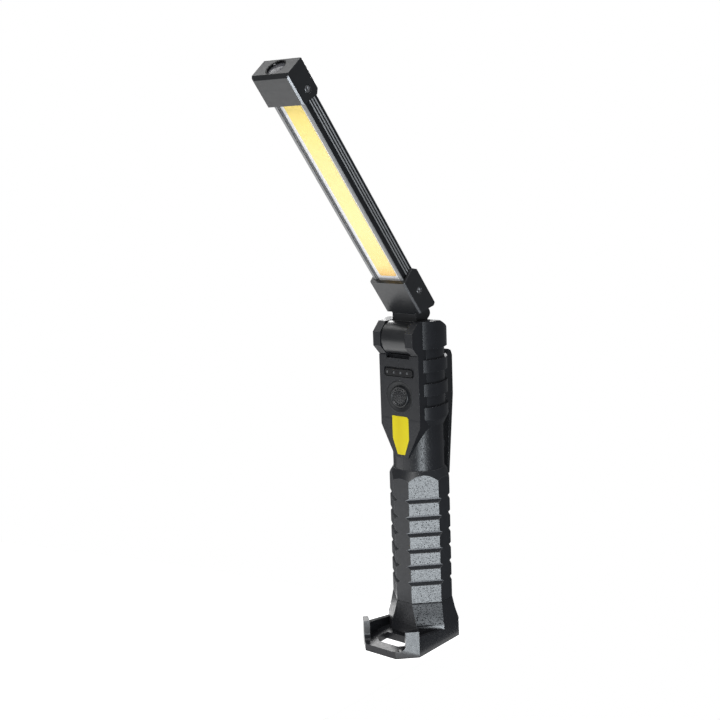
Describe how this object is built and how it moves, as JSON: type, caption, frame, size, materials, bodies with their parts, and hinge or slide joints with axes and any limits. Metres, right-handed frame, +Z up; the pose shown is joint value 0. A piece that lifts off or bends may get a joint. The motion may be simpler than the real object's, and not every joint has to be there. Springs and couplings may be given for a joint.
{
  "type": "work light",
  "caption": "Folding inspection light: octagonal grip with a cradle foot, button and belt clip, and a hinged light bar with a strip lamp and a tip torch.",
  "frame": {"origin": "on the handle's axis, on the surface that the foot stands on", "axes": "+Z up along the handle, -Y out of the face with the button, +X to the right seen from that face"},
  "size_m": [0.0468, 0.153, 0.3722],
  "materials": {
    "shell_black": "moulded nylon, smooth panels and spark-textured neck",
    "grip_black": "soft moulded grip, coarse texture on its corner faces",
    "foot_black": "moulded nylon, satin",
    "cap_black": "moulded nylon, satin with bright bevels",
    "clip_black": "moulded spring plastic",
    "bar_anodised": "black anodised extrusion, bright fin edges",
    "lens_clear": "clear polycarbonate cover",
    "phosphor_yellow": "silicone phosphor",
    "board_white": "white solder mask on a metal core",
    "label_yellow": "printed polyester label",
    "button_rubber": "knurled soft button",
    "bezel_gloss": "polished ring",
    "window_smoked": "smoked window",
    "steel": "plated steel",
    "screw_black": "black oxide screws",
    "board_green": "circuit board",
    "part_dark": "moulded chips and coils",
    "led_white": "lamp chips",
    "cell_wrap": "heat-shrink sleeve on a steel can",
    "reflector_chrome": "metallised cup",
    "flap_rubber": "rubber flap"
  },
  "bodies": {
    "handle": {"left_shell": "shell_black", "right_shell": "shell_black", "shell_screws": "screw_black", "grip_sleeve": "grip_black", "foot_cradle": "foot_black", "foot_screws": "steel", "base_cover": "foot_black", "base_cover_screws": "screw_black", "base_magnet": "steel", "charge_board": "board_green", "charge_port": "steel", "main_board": "board_green", "board_parts": "part_dark", "switch_body": "part_dark", "button_bezel": "bezel_gloss", "indicator_window": "window_smoked", "charge_leds": "led_white", "label_plate": "label_yellow", "battery_cell": "cell_wrap", "battery_contact": "steel", "battery_spring": "steel", "clip_base": "clip_black", "clip_base_screws": "screw_black", "clip_pin": "steel", "clip_spring": "steel", "hinge_axle": "steel", "hinge_washers": "steel"},
    "light_head": {"hinge_arm": "cap_black", "arm_screws": "screw_black", "lower_cap": "cap_black", "upper_cap": "cap_black", "cap_screws": "screw_black", "light_bar": "bar_anodised", "cob_board": "board_white", "cob_phosphor": "phosphor_yellow", "cob_lens": "lens_clear", "torch_board": "board_white", "torch_emitter": "led_white", "torch_reflector": "reflector_chrome", "torch_lens": "lens_clear"},
    "button": {"power_button": "button_rubber", "switch_plunger": "led_white"},
    "clip": {"clip_arm": "clip_black"},
    "port_flap": {"port_cover": "flap_rubber"}
  },
  "joints": [
    {"name": "bar_fold", "type": "hinge", "parent": "handle", "child": "light_head", "pos_m": [0, -0.0133, 0.2028], "axis": [1, 0, 0], "range_deg": [-38.5, 141.5]},
    {"name": "button_press", "type": "slide", "parent": "handle", "child": "button", "axis": [0, 1, 0], "range_m": [0, 0.0006], "stiffness_N_per_m": 1500},
    {"name": "clip_open", "type": "hinge", "parent": "handle", "child": "clip", "pos_m": [0, 0.0232, 0.175], "axis": [1, 0, 0], "range_deg": [0, 7], "stiffness_Nm_per_rad": 0.3, "springref_deg": -5.73},
    {"name": "flap_open", "type": "hinge", "parent": "handle", "child": "port_flap", "pos_m": [-0.0079, 0.0233, 0.0122], "axis": [0, 0, 1], "range_deg": [0, 110]}
  ]
}
